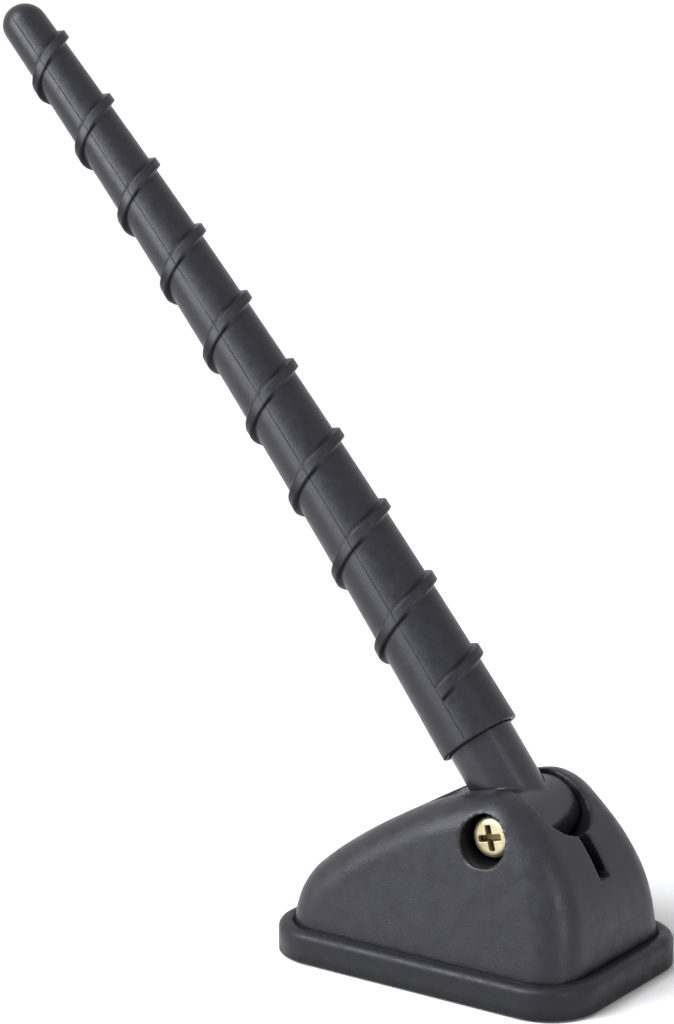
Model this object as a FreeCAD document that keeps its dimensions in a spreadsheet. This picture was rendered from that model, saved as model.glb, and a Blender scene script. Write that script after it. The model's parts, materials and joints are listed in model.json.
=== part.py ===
import FreeCAD, Part
import math
import os
import Sketcher

# Stick-on car antenna: a spiral rubber mast on a hub that tilts in the split jaws of a moulded base.
# Millimetres. The origin is the middle of the base underside, +Z is up and +X is the steep end.

SIZES = [
    ("base_length", 65.0, "gasket, nose to steep end"),
    ("base_width", 43.5, "gasket, side to side"),
    ("base_corner", 10.0, "gasket corner radius in plan"),
    ("base_lift", 0.3, "gasket underside above the face that the pad sticks to"),
    ("gasket_height", 5.8, "gasket top above the face that the pad sticks to"),
    ("gasket_round", 1.5, "gasket top edge radius"),
    ("gasket_ledge", 3.0, "gasket top left bare around the housing"),
    ("tray_depth", 0.8, "how far the housing foot sits down in the gasket"),
    ("tray_gap", 0.35, "open seam around the housing foot"),
    ("rim_height", 3.0, "locating rim inside the housing foot"),
    ("rim_width", 1.6, "locating rim thickness"),
    ("rim_gap", 1.0, "locating rim clear of the housing wall"),
    ("pad_margin", 4.0, "gasket skirt left around the adhesive pad"),
    ("pad_thickness", 1.3, "foam tape"),
    ("wall", 2.4, "housing wall"),
    ("side_draft", 10.0, "draft angle of the housing sides"),
    ("shoulder_radius", 6.8, "rounding along the housing back and corners"),
    ("crown_x", 11.3, "highest point of the housing back along X"),
    ("crown_height", 34.8, "highest point of the housing back"),
    ("crown_radius", 9.5, "side profile radius over the jaws"),
    ("end_radius", 40.0, "side profile radius of the steep end"),
    ("back_radius", 74.0, "side profile radius of the sloping back"),
    ("nose_radius", 15.0, "side profile radius of the nose"),
    ("nose_rise", 0.5, "nose arc centre above the housing foot"),
    ("pivot_x", 11.0, "tilt axis along X"),
    ("pivot_height", 27.2, "tilt axis above the face that the pad sticks to"),
    ("jaw_gap", 14.2, "open width between the jaws"),
    ("nose_trough", 19.0, "trough on the nose side, angle above level"),
    ("end_trough", 38.0, "trough on the steep side, angle above level"),
    ("slit_width", 2.8, "clamp slit"),
    ("slit_floor", 19.9, "clamp slit bottom above the face that the pad sticks to"),
    ("running_gap", 0.3, "air around the drum"),
    ("drum_radius", 6.9, "hub drum"),
    ("neck_radius", 6.2, "hub neck"),
    ("spigot_radius", 3.6, "hub spigot inside the mast"),
    ("spigot_length", 24.0, "hub spigot inside the mast"),
    ("lean_angle", 39.5, "mast lean angle from upright toward the nose"),
    ("mast_start", 15.9, "mast bottom from the tilt axis"),
    ("mast_end", 179.9, "mast tip from the tilt axis"),
    ("mast_radius", 7.5, "mast radius at the bottom"),
    ("tip_radius", 4.2, "mast radius at the round tip"),
    ("mast_recess", 1.0, "depth of the recess over the neck"),
    ("fit_gap", 0.05, "slip fit of spigot, screw and nut"),
    ("rib_pitch", 15.58, "spiral rib, rise in one turn"),
    ("rib_start", 25.6, "lower end of the spiral rib from the tilt axis"),
    ("rib_turns", 9.5, "spiral rib, front parting line to back parting line"),
    ("rib_width", 2.6, "spiral rib at the mast surface"),
    ("rib_proud", 1.6, "spiral rib height halfway between the parting lines"),
    ("rib_flush", 0.15, "spiral rib height left at the parting lines"),
    ("rib_flank", 12.0, "spiral rib flank draft angle"),
    ("parting_angle", 18.0, "parting line angle from the screw side toward the steep end"),
    ("screw_diameter", 4.0, "M4 screw"),
    ("screw_length", 22.0, "M4 screw below its head"),
    ("head_diameter", 7.0, "pan head"),
    ("head_height", 2.6, "pan head"),
    ("head_seat", 9.6, "head bearing face from the middle plane"),
    ("head_recess", 9.0, "diameter of the recess for the head"),
    ("head_round", 1.1, "pan head edge radius"),
    ("tip_chamfer", 0.6, "screw end chamfer"),
    ("cross_span", 4.4, "cross recess, wing tip to wing tip"),
    ("cross_width", 1.1, "cross recess wing"),
    ("cross_depth", 1.6, "cross recess"),
    ("nut_flats", 7.0, "M4 nut across flats"),
    ("nut_height", 3.2, "M4 nut"),
    ("nut_chamfer", 0.175, "bevel on the nut corners"),
    ("nut_seat", 9.0, "nut bearing face from the middle plane"),
]

MIDDLE = (-1, 1)
CLOSE = 1e-4
QUARTER_TURN = 90
UP = FreeCAD.Vector(0, 0, 1)
ALONG_Y = FreeCAD.Rotation(FreeCAD.Vector(1, 0, 0), -90)
ROLE = {"XY": "XY_Plane", "XZ": "XZ_Plane", "YZ": "YZ_Plane"}

doc = FreeCAD.newDocument("car_antenna")
sheet = doc.addObject("Spreadsheet::Sheet", "Sizes")


def fill_sheet():
    for row, (alias, value, meaning) in enumerate(SIZES, 1):
        sheet.set(f"A{row}", meaning)
        sheet.set(f"B{row}", str(value))
        sheet.setAlias(f"B{row}", alias)
    doc.recompute()


def size(alias):
    return float(sheet.get(alias))


def bind(target, **formulas):
    for name, formula in formulas.items():
        target.setExpression(name, formula)


def place(target, x="0", y="0", z="0", rotation=FreeCAD.Rotation()):
    target.Placement = FreeCAD.Placement(FreeCAD.Vector(), rotation)
    for axis, formula in zip("xyz", (x, y, z)):
        target.setExpression(f"Placement.Base.{axis}", formula)


def flat(x, y):
    return FreeCAD.Vector(x, y, 0)


# Sketch helpers
def new_body(label):
    body = doc.addObject("PartDesign::Body", label)
    body.Label = label
    return body


def new_sketch(body, name, plane, lift="0"):
    sketch = body.newObject("Sketcher::SketchObject", name)
    support = next(f for f in body.Origin.OriginFeatures if f.Role == ROLE[plane])
    sketch.AttachmentSupport = [(support, "")]
    sketch.MapMode = "FlatFace"
    sketch.setExpression("AttachmentOffset.Base.z", lift)
    return sketch


def dimension(sketch, kind, name, formula, *points):
    value = float(sketch.evalExpression(formula))
    index = sketch.addConstraint(Sketcher.Constraint(kind, *points, value))
    sketch.renameConstraint(index, name)
    sketch.setExpression(f"Constraints.{name}", formula)


def rounded_rectangle(sketch, name, length, width, corner):
    first = sketch.GeometryCount
    x = sketch.evalExpression(length) / 2
    y = sketch.evalExpression(width) / 2
    radius = sketch.evalExpression(corner)
    runs = [
        (flat(radius - x, -y), flat(x - radius, -y)),
        (flat(x, radius - y), flat(x, y - radius)),
        (flat(x - radius, y), flat(radius - x, y)),
        (flat(-x, y - radius), flat(-x, radius - y)),
    ]
    centres = [
        flat(x - radius, radius - y),
        flat(x - radius, y - radius),
        flat(radius - x, y - radius),
        flat(radius - x, radius - y),
    ]
    for i in range(4):
        bend = Part.Circle(centres[i], UP, radius)
        sketch.addGeometry(Part.LineSegment(*runs[i]))
        sketch.addGeometry(Part.ArcOfCircle(bend, (i - 1) * math.pi / 2, i * math.pi / 2))
    for i in range(8):
        following = first + (i + 1) % 8
        sketch.addConstraint(Sketcher.Constraint("Tangent", first + i, 2, following, 1))
    for i in range(4):
        kind = "Vertical" if i % 2 else "Horizontal"
        sketch.addConstraint(Sketcher.Constraint(kind, first + 2 * i))
    for i in (3, 5, 7):
        sketch.addConstraint(Sketcher.Constraint("Equal", first + 1, first + i))
    sketch.addConstraint(Sketcher.Constraint("Symmetric", first, 1, first + 4, 1, *MIDDLE))
    dimension(sketch, "Radius", f"{name}_corner", corner, first + 1)
    dimension(sketch, "DistanceX", f"{name}_length", length, first + 6, 1, first + 2, 1)
    dimension(sketch, "DistanceY", f"{name}_width", width, first, 1, first + 4, 1)


def circle(sketch, name, radius):
    index = sketch.addGeometry(Part.Circle(FreeCAD.Vector(), UP, sketch.evalExpression(radius)))
    sketch.addConstraint(Sketcher.Constraint("Coincident", index, 3, *MIDDLE))
    dimension(sketch, "Radius", name, radius, index)


def outline(sketch, name, corners, closed=True):
    """Straight lines through corners given as pairs of formulas, each held from the sketch origin."""
    first = sketch.GeometryCount
    points = [flat(*(float(sketch.evalExpression(part)) for part in corner)) for corner in corners]
    count = len(points) if closed else len(points) - 1
    for i in range(count):
        sketch.addGeometry(Part.LineSegment(points[i], points[(i + 1) % len(points)]))
    for i in range(count if closed else count - 1):
        following = first + (i + 1) % count
        sketch.addConstraint(Sketcher.Constraint("Coincident", first + i, 2, following, 1))
    for i, (x, y) in enumerate(corners):
        spot = (first + i, 1) if i < count else (first + count - 1, 2)
        for kind, axis, formula in (("DistanceX", -2, x), ("DistanceY", -1, y)):
            if formula == "0":
                sketch.addConstraint(Sketcher.Constraint("PointOnObject", *spot, axis))
            else:
                dimension(sketch, kind, f"{name}_{kind[-1].lower()}{i}", formula, *MIDDLE, *spot)


def add_feature(body, kind, name, sketch, length, symmetric=False, reverse=False):
    feature = body.newObject(f"PartDesign::{kind}", name)
    feature.Profile = sketch
    feature.setExpression("Length", length)
    feature.SideType = "Symmetric" if symmetric else "One side"
    feature.Reversed = reverse
    sketch.Visibility = False
    doc.recompute()
    return feature


def round_edges(body, name, base, radius, wanted):
    doc.recompute()
    fillet = body.newObject("PartDesign::Fillet", name)
    edges = [f"Edge{i}" for i, edge in enumerate(base.Shape.Edges, 1) if wanted(edge)]
    fillet.Base = (base, edges)
    fillet.setExpression("Radius", radius)
    doc.recompute()
    return fillet


def level_at(height):
    def wanted(edge):
        return max(abs(edge.BoundBox.ZMin - height), abs(edge.BoundBox.ZMax - height)) < CLOSE

    return wanted


# Part helpers
def primitive(kind, name, **formulas):
    solid = doc.addObject(f"Part::{kind}", name)
    bind(solid, **formulas)
    return solid


def cylinder_across(name, radius, start, length):
    solid = primitive("Cylinder", name, Radius=radius, Height=length)
    place(solid, "Sizes.pivot_x", start, "Sizes.pivot_height", ALONG_Y)
    return solid


def fuse(name, shapes):
    result = doc.addObject("Part::MultiFuse", name)
    result.Shapes = shapes
    result.Refine = False
    return result


def cut(name, base, tool):
    result = doc.addObject("Part::Cut", name)
    result.Base = base
    result.Tool = tool
    return result


# Housing
def crossing(first, first_radius, second, second_radius, side):
    """Point at the given distances from two centres, left (1) or right (-1) of the line between them."""
    span = second - first
    along = (first_radius**2 - second_radius**2 + span.Length**2) / (2 * span.Length)
    across = math.sqrt(first_radius**2 - along**2)
    direction = flat(span.x, span.y).normalize()
    return first + direction * along + flat(-direction.y, direction.x) * (side * across)


def profile_arc(centre, radius, start, end):
    def angle(point):
        return math.atan2(point.y - centre.y, point.x - centre.x)

    return Part.ArcOfCircle(Part.Circle(centre, UP, radius), angle(start), angle(end))


def beyond(centre, inner, radius):
    return inner + flat(inner.x - centre.x, inner.y - centre.y).normalize() * radius


def housing_profile(body, name, inset):
    """Side profile: level foot, steep end, crown, sloping back and nose, as four tangent arcs."""
    sketch = new_sketch(body, name, "XZ")
    shrink = size("wall") if inset else 0.0
    less = " - Sizes.wall" if inset else ""
    foot = size("gasket_height") - size("tray_depth")
    reach = size("base_length") / 2 - size("gasket_ledge") - shrink
    end_r, crown_r, back_r, nose_r = (
        size(f"{part}_radius") - shrink for part in ("end", "crown", "back", "nose")
    )
    nose_foot = flat(-reach, foot)
    end_foot = flat(reach, foot)
    crown = flat(size("crown_x"), size("crown_height") - size("crown_radius"))
    rise = size("nose_rise")
    nose = flat(-reach + math.sqrt(nose_r**2 - rise**2), foot + rise)
    end = crossing(end_foot, end_r, crown, end_r - crown_r, 1)
    back = crossing(crown, back_r - crown_r, nose, back_r - nose_r, 1)
    end_top = beyond(end, crown, crown_r)
    back_top = beyond(back, crown, crown_r)
    back_low = beyond(back, nose, nose_r)
    sketch.addGeometry(Part.LineSegment(nose_foot, end_foot))
    sketch.addGeometry(profile_arc(end, end_r, end_foot, end_top))
    sketch.addGeometry(profile_arc(crown, crown_r, end_top, back_top))
    sketch.addGeometry(profile_arc(back, back_r, back_top, back_low))
    sketch.addGeometry(profile_arc(nose, nose_r, back_low, nose_foot))
    sketch.addConstraint(Sketcher.Constraint("Horizontal", 0))
    sketch.addConstraint(Sketcher.Constraint("Coincident", 0, 2, 1, 1))
    for arc in (1, 2, 3):
        sketch.addConstraint(Sketcher.Constraint("Tangent", arc, 2, arc + 1, 1))
    sketch.addConstraint(Sketcher.Constraint("Coincident", 4, 2, 0, 1))
    reach_formula = f"Sizes.base_length / 2 - Sizes.gasket_ledge{less}"
    foot_formula = "Sizes.gasket_height - Sizes.tray_depth"
    dimension(sketch, "DistanceY", "foot_level", foot_formula, *MIDDLE, 0, 1)
    dimension(sketch, "DistanceX", "nose_reach", reach_formula, 0, 1, *MIDDLE)
    dimension(sketch, "DistanceX", "end_reach", reach_formula, *MIDDLE, 0, 2)
    for arc, part in enumerate(("end", "crown", "back", "nose"), 1):
        dimension(sketch, "Radius", f"{part}_arc", f"Sizes.{part}_radius{less}", arc)
    dimension(sketch, "DistanceX", "crown_place", "Sizes.crown_x", *MIDDLE, 2, 3)
    dimension(sketch, "DistanceY", "crown_level", "Sizes.crown_height - Sizes.crown_radius", *MIDDLE, 2, 3)
    dimension(sketch, "DistanceY", "nose_level", f"{foot_formula} + Sizes.nose_rise", *MIDDLE, 4, 3)
    return sketch


def draft_wedge(sketch, sign, half_width):
    """Triangle outside one sloping side, from the foot to above the crown."""
    first = sketch.GeometryCount
    foot = "Sizes.gasket_height - Sizes.tray_depth"
    rise = f"Sizes.crown_height - ({foot})"
    low = sketch.evalExpression(foot)
    high = size("crown_height")
    outer = sign * sketch.evalExpression(half_width)
    inner = outer - sign * (high - low) * math.tan(math.radians(size("side_draft")))
    corners = [flat(outer, low), flat(outer, high), flat(inner, high)]
    for i in range(3):
        sketch.addGeometry(Part.LineSegment(corners[i], corners[(i + 1) % 3]))
    for i in range(3):
        sketch.addConstraint(Sketcher.Constraint("Coincident", first + i, 2, first + (i + 1) % 3, 1))
    sketch.addConstraint(Sketcher.Constraint("Vertical", first))
    sketch.addConstraint(Sketcher.Constraint("Horizontal", first + 1))
    name = "left" if sign < 0 else "right"
    ends = (MIDDLE, (first, 1))[::sign]
    dimension(sketch, "DistanceX", f"{name}_half", half_width, *ends[0], *ends[1])
    dimension(sketch, "DistanceY", f"{name}_foot", foot, *MIDDLE, first, 1)
    dimension(sketch, "DistanceY", f"{name}_rise", rise, first, 1, first, 2)
    ends = ((first + 1, 2), (first + 1, 1))[::sign]
    dimension(sketch, "DistanceX", f"{name}_run", f"({rise}) * tan(Sizes.side_draft)", *ends[0], *ends[1])


def housing_form(label, inset):
    """The side profile drawn out across the base, drafted and rounded; the inset one is the hollow."""
    body = new_body(label)
    less = " - Sizes.wall" if inset else ""
    profile = housing_profile(body, f"{label}_profile", inset)
    width = f"2 * (Sizes.base_width / 2 - Sizes.gasket_ledge{less})"
    block = add_feature(body, "Pad", f"{label}_block", profile, width, symmetric=True)
    sides = new_sketch(body, f"{label}_sides", "YZ")
    for sign in (-1, 1):
        draft_wedge(sides, sign, f"Sizes.base_width / 2 - Sizes.gasket_ledge{less}")
    draft = add_feature(body, "Pocket", f"{label}_draft", sides, "2 * Sizes.base_length", symmetric=True)
    foot_level = size("gasket_height") - size("tray_depth")
    doc.recompute()
    side_edges = [
        edge
        for face in draft.Shape.Faces
        if abs(face.normalAt(0, 0).y) > 0.5
        for edge in face.Edges
        if not level_at(foot_level)(edge)
    ]
    round_edges(
        body,
        f"{label}_shoulders",
        draft,
        f"Sizes.shoulder_radius{less}",
        lambda edge: any(edge.isSame(side) for side in side_edges),
    )
    return body


def tilt(target, sense, angle, y="0"):
    """Put a piece on the tilt axis, turned about it by an angle that carries +Z toward +X for sense 1."""
    turn = FreeCAD.Rotation(FreeCAD.Vector(0, sense, 0), QUARTER_TURN)
    place(target, "Sizes.pivot_x", y, "Sizes.pivot_height", turn)
    target.setExpression("Placement.Rotation.Angle", angle)


def swing_space(label, grow):
    """Room for drum and neck over the whole tilt: drum pocket, two round troughs and the gap above them."""
    half = f"(Sizes.jaw_gap / 2 + {grow})"
    reach = "Sizes.base_length"
    pocket = cylinder_across(
        f"{label}_pocket", f"Sizes.drum_radius + Sizes.running_gap + {grow}", f"-{half}", f"2 * {half}"
    )
    pieces = [pocket]
    for side, sign, opening in (("nose", -1, "90 - Sizes.nose_trough"), ("end", 1, "Sizes.end_trough")):
        trough = primitive("Cylinder", f"{label}_{side}_trough", Radius=half, Height=reach)
        tilt(trough, sign, f"90 - Sizes.{side}_trough")
        above = primitive("Box", f"{label}_{side}_gap", Length=reach, Width=f"2 * {half}", Height=reach)
        tilt(above, -1, opening, f"-{half}")
        pieces += [trough, above]
    return fuse(label, pieces)


def build_housing():
    outside = housing_form("housing_outside", False)
    hollow = housing_form("housing_hollow", True)
    cradle = swing_space("housing_cradle", "Sizes.wall")
    boss = cylinder_across(
        "screw_boss", "Sizes.head_recess / 2 + Sizes.wall", "-Sizes.base_width / 2", "Sizes.base_width"
    )
    room = cut("housing_room", hollow, fuse("housing_inner", [cradle, boss]))
    swing = swing_space("housing_swing", "0")
    slit = primitive(
        "Box",
        "clamp_slit",
        Length="Sizes.base_length",
        Width="Sizes.slit_width",
        Height="Sizes.pivot_height - Sizes.slit_floor",
    )
    place(slit, "Sizes.pivot_x", "-Sizes.slit_width / 2", "Sizes.slit_floor")
    bore = cylinder_across(
        "screw_bore",
        "Sizes.screw_diameter / 2 + Sizes.running_gap",
        "-Sizes.base_width / 2",
        "Sizes.base_width",
    )
    head = cylinder_across(
        "head_pocket", "Sizes.head_recess / 2", "-Sizes.base_width / 2", "Sizes.base_width / 2 - Sizes.head_seat"
    )
    nut = primitive(
        "Prism",
        "nut_pocket",
        Circumradius="(Sizes.nut_flats / 2 + Sizes.fit_gap) / cos(30)",
        Height="Sizes.base_width / 2 - Sizes.nut_seat",
    )
    place(nut, "Sizes.pivot_x", "Sizes.nut_seat", "Sizes.pivot_height", ALONG_Y)
    openings = fuse("housing_openings", [room, swing, slit, bore, head, nut])
    housing = cut("base_housing", outside, openings)
    housing.Label = "base_housing"
    return housing


# Gasket and adhesive pad
def base_outline(sketch, name, margin, corner):
    """Rounded rectangle set in from the gasket edge by a margin."""
    rounded_rectangle(
        sketch, name, f"Sizes.base_length - 2 * ({margin})", f"Sizes.base_width - 2 * ({margin})", corner
    )


def build_gasket():
    body = new_body("base_gasket")
    foot = "Sizes.gasket_height - Sizes.tray_depth"
    plan = new_sketch(body, "gasket_outline", "XY", "Sizes.base_lift")
    base_outline(plan, "gasket", "0", "Sizes.base_corner")
    plate = add_feature(body, "Pad", "gasket_plate", plan, "Sizes.gasket_height - Sizes.base_lift")
    round_edges(body, "gasket_top_edge", plate, "Sizes.gasket_round", level_at(size("gasket_height")))
    tray = new_sketch(body, "gasket_tray_outline", "XY", "Sizes.gasket_height")
    base_outline(
        tray, "tray", "Sizes.gasket_ledge - Sizes.tray_gap", "Sizes.shoulder_radius + Sizes.tray_gap"
    )
    add_feature(body, "Pocket", "gasket_tray", tray, "Sizes.tray_depth")
    rim = new_sketch(body, "gasket_rim_outline", "XY", foot)
    inside = "Sizes.gasket_ledge + Sizes.wall + Sizes.rim_gap"
    corner = "Sizes.shoulder_radius - Sizes.wall"
    base_outline(rim, "rim_out", inside, corner)
    base_outline(rim, "rim_in", f"{inside} + Sizes.rim_width", f"{corner} - Sizes.rim_width")
    add_feature(body, "Pad", "gasket_rim", rim, "Sizes.rim_height")
    recess = new_sketch(body, "gasket_recess_outline", "XY", "Sizes.base_lift")
    base_outline(recess, "recess", "Sizes.pad_margin", "Sizes.base_corner - Sizes.pad_margin")
    depth = "Sizes.pad_thickness - Sizes.base_lift"
    add_feature(body, "Pocket", "gasket_recess", recess, depth, reverse=True)
    return body


def build_pad():
    body = new_body("adhesive_pad")
    plan = new_sketch(body, "pad_outline", "XY")
    margin = "Sizes.pad_margin + Sizes.fit_gap"
    base_outline(plan, "pad", margin, "Sizes.base_corner - Sizes.pad_margin - Sizes.fit_gap")
    add_feature(body, "Pad", "pad_sheet", plan, "Sizes.pad_thickness")
    return body


# Hub and mast, drawn upright about the tilt axis and then leaned over
def lean(target, turn="0"):
    target.setExpression("Placement.Base.x", "Sizes.pivot_x")
    target.setExpression("Placement.Base.z", "Sizes.pivot_height")
    target.setExpression(
        "Placement.Rotation", f"rotationy(-Sizes.lean_angle) * rotationz({turn})"
    )


def build_hub():
    body = new_body("pivot_hub")
    drum = new_sketch(body, "drum_outline", "XZ")
    circle(drum, "drum", "Sizes.drum_radius")
    width = "Sizes.jaw_gap - 2 * Sizes.running_gap"
    barrel = add_feature(body, "Pad", "drum", drum, width, symmetric=True)
    round_edges(body, "drum_rims", barrel, "Sizes.running_gap", lambda edge: edge.BoundBox.YLength < CLOSE)
    neck = new_sketch(body, "neck_outline", "XY")
    circle(neck, "neck", "Sizes.neck_radius")
    shoulder = "Sizes.mast_start + Sizes.mast_recess"
    add_feature(body, "Pad", "neck", neck, shoulder)
    spigot = new_sketch(body, "spigot_outline", "XY", shoulder)
    circle(spigot, "spigot", "Sizes.spigot_radius")
    add_feature(body, "Pad", "spigot", spigot, "Sizes.spigot_length")
    bore = new_sketch(body, "hub_bore_outline", "XZ")
    circle(bore, "bore", "Sizes.screw_diameter / 2 + Sizes.fit_gap")
    add_feature(body, "Pocket", "hub_bore", bore, "Sizes.jaw_gap", symmetric=True)
    lean(body)
    return body


MAST_RUN = "(Sizes.mast_end - Sizes.tip_radius - Sizes.mast_start)"
MAST_SLOPE = f"((Sizes.mast_radius - Sizes.tip_radius) / {MAST_RUN})"


def mast_radius_at(height):
    return f"(Sizes.mast_radius - ({height} - Sizes.mast_start) * {MAST_SLOPE})"


def build_mast_core():
    """Tapered mast with its round tip and the stepped socket for neck and spigot, turned in one go."""
    body = new_body("mast_core")
    section = new_sketch(body, "mast_section", "XZ")
    shoulder = "Sizes.mast_start + Sizes.mast_recess"
    deep = f"{shoulder} + Sizes.spigot_length + Sizes.mast_recess"
    bore = "Sizes.spigot_radius + Sizes.fit_gap"
    seam = "Sizes.neck_radius + Sizes.running_gap"
    centre = "Sizes.mast_end - Sizes.tip_radius"
    corners = [
        ("0", "Sizes.mast_end"),
        ("0", deep),
        (bore, deep),
        (bore, shoulder),
        (seam, shoulder),
        (seam, "Sizes.mast_start"),
        ("Sizes.mast_radius", "Sizes.mast_start"),
    ]
    outline(section, "mast", corners, closed=False)
    last = section.GeometryCount
    foot = flat(size("mast_radius"), size("mast_start"))
    tip = flat(size("tip_radius"), section.evalExpression(centre))
    section.addGeometry(Part.LineSegment(foot, tip))
    dome = Part.Circle(flat(0, tip.y), UP, tip.x)
    section.addGeometry(Part.ArcOfCircle(dome, 0, math.pi / 2))
    section.addConstraint(Sketcher.Constraint("Coincident", last - 1, 2, last, 1))
    section.addConstraint(Sketcher.Constraint("Tangent", last, 2, last + 1, 1))
    section.addConstraint(Sketcher.Constraint("Coincident", last + 1, 2, 0, 1))
    section.addConstraint(Sketcher.Constraint("PointOnObject", last + 1, 3, -2))
    dimension(section, "Radius", "tip", "Sizes.tip_radius", last + 1)
    turned = body.newObject("PartDesign::Revolution", "mast_turned")
    turned.Profile = section
    turned.ReferenceAxis = (section, ["V_Axis"])
    section.Visibility = False
    return body


def build_rib():
    """Spiral rib cut to an oval crest, so that it sinks to the mast surface at both parting lines."""
    start_radius = mast_radius_at("Sizes.rib_start")
    height = "Sizes.rib_turns * Sizes.rib_pitch"
    path = primitive(
        "Helix",
        "rib_path",
        Pitch="Sizes.rib_pitch",
        Height=height,
        Radius=start_radius,
        Angle=f"-atan({MAST_SLOPE})",
    )
    place(path, z="Sizes.rib_start")
    section = doc.addObject("Sketcher::SketchObject", "rib_section")
    place(section, rotation=FreeCAD.Rotation(FreeCAD.Vector(1, 0, 0), 90))
    depth = "2 * Sizes.rib_proud"
    root = f"(Sizes.rib_width / 2 + {depth} * tan(Sizes.rib_flank))"
    crest = f"(Sizes.rib_width / 2 - {depth} * tan(Sizes.rib_flank))"
    corners = [
        (f"{start_radius} - {depth}", f"Sizes.rib_start - {root}"),
        (f"{start_radius} + {depth}", f"Sizes.rib_start - {crest}"),
        (f"{start_radius} + {depth}", f"Sizes.rib_start + {crest}"),
        (f"{start_radius} - {depth}", f"Sizes.rib_start + {root}"),
    ]
    outline(section, "rib", corners)
    doc.recompute()
    strip = doc.addObject("Part::Sweep", "rib_strip")
    strip.Sections = [section]
    strip.Spine = (path, [])
    strip.Solid = True
    strip.Frenet = True
    ovals = []
    for name, level in (
        ("low", "Sizes.rib_start - Sizes.rib_pitch / 2"),
        ("high", f"Sizes.rib_start + {height} + Sizes.rib_pitch / 2"),
    ):
        radius = mast_radius_at(f"({level})")
        oval = primitive(
            "Ellipse",
            f"crest_{name}",
            MajorRadius=f"{radius} + Sizes.rib_proud",
            MinorRadius=f"{radius} + Sizes.rib_flush",
        )
        place(oval, z=level, rotation=FreeCAD.Rotation(UP, 90))
        ovals.append(oval)
    crest = doc.addObject("Part::Loft", "rib_crest")
    crest.Sections = ovals
    crest.Solid = True
    crest.Ruled = True
    rib = doc.addObject("Part::MultiCommon", "rib")
    rib.Shapes = [strip, crest]
    rib.Refine = False
    return rib


def build_mast():
    mast = fuse("spiral_mast", [build_mast_core(), build_rib()])
    mast.Label = "spiral_mast"
    lean(mast, "Sizes.parting_angle - 90")
    return mast


# Fasteners
def build_screw():
    body = new_body("clamp_screw")
    section = new_sketch(body, "screw_section", "XZ")
    shank = "Sizes.screw_diameter / 2"
    tip = "Sizes.head_height + Sizes.screw_length"
    corners = [
        ("0", "0"),
        ("Sizes.head_diameter / 2", "0"),
        ("Sizes.head_diameter / 2", "Sizes.head_height"),
        (shank, "Sizes.head_height"),
        (shank, f"{tip} - Sizes.tip_chamfer"),
        (f"{shank} - Sizes.tip_chamfer", tip),
        ("0", tip),
    ]
    outline(section, "screw", corners)
    turned = body.newObject("PartDesign::Revolution", "screw_turned")
    turned.Profile = section
    turned.ReferenceAxis = (section, ["V_Axis"])
    section.Visibility = False
    round_edges(body, "head_edge", turned, "Sizes.head_round", level_at(0))
    for name, length, width in (
        ("first", "Sizes.cross_span", "Sizes.cross_width"),
        ("second", "Sizes.cross_width", "Sizes.cross_span"),
    ):
        wing = new_sketch(body, f"{name}_wing_outline", "XY")
        rounded_rectangle(wing, "wing", length, width, "Sizes.cross_width / 4")
        add_feature(body, "Pocket", f"{name}_wing", wing, "Sizes.cross_depth", reverse=True)
    place(body, "Sizes.pivot_x", "-Sizes.head_seat - Sizes.head_height", "Sizes.pivot_height", ALONG_Y)
    return body


def build_nut():
    prism = primitive(
        "Prism", "nut_hexagon", Circumradius="Sizes.nut_flats / 2 / cos(30)", Height="Sizes.nut_height"
    )
    rim = "Sizes.nut_flats / 2 - Sizes.nut_chamfer"
    waist = f"({rim} + Sizes.nut_height / 2 * tan(60))"
    lower = primitive("Cone", "nut_lower_chamfer", Radius1=rim, Radius2=waist, Height="Sizes.nut_height / 2")
    upper = primitive("Cone", "nut_upper_chamfer", Radius1=waist, Radius2=rim, Height="Sizes.nut_height / 2")
    place(upper, z="Sizes.nut_height / 2")
    blank = doc.addObject("Part::MultiCommon", "nut_blank")
    blank.Shapes = [prism, fuse("nut_chamfers", [lower, upper])]
    bore = primitive(
        "Cylinder", "nut_bore", Radius="Sizes.screw_diameter / 2 + Sizes.fit_gap", Height="Sizes.nut_height"
    )
    nut = cut("clamp_nut", blank, bore)
    nut.Label = "clamp_nut"
    place(nut, "Sizes.pivot_x", "Sizes.nut_seat", "Sizes.pivot_height", ALONG_Y)
    return nut


fill_sheet()
nodes = [
    build_housing(),
    build_gasket(),
    build_pad(),
    build_hub(),
    build_mast(),
    build_screw(),
    build_nut(),
]
doc.recompute()
for item in doc.Objects:
    if "Invalid" in item.State:
        raise RuntimeError(f"{item.Label} did not compute")
    shape = getattr(item, "Shape", None)
    if shape is not None and (shape.isNull() or not shape.isValid()):
        raise RuntimeError(f"{item.Label} has no sound shape")
for node in nodes:
    if len(node.Shape.Solids) != 1:
        raise RuntimeError(f"{node.Label} is not one solid")
os.makedirs("parts", exist_ok=True)
for node in nodes:
    node.Shape.exportStep(f"parts/{node.Label}.step")
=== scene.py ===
import json
import math
from collections import namedtuple

import bpy
from bpy.props import FloatProperty, FloatVectorProperty, IntProperty, PointerProperty
from mathutils import Matrix, Vector, noise


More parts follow.
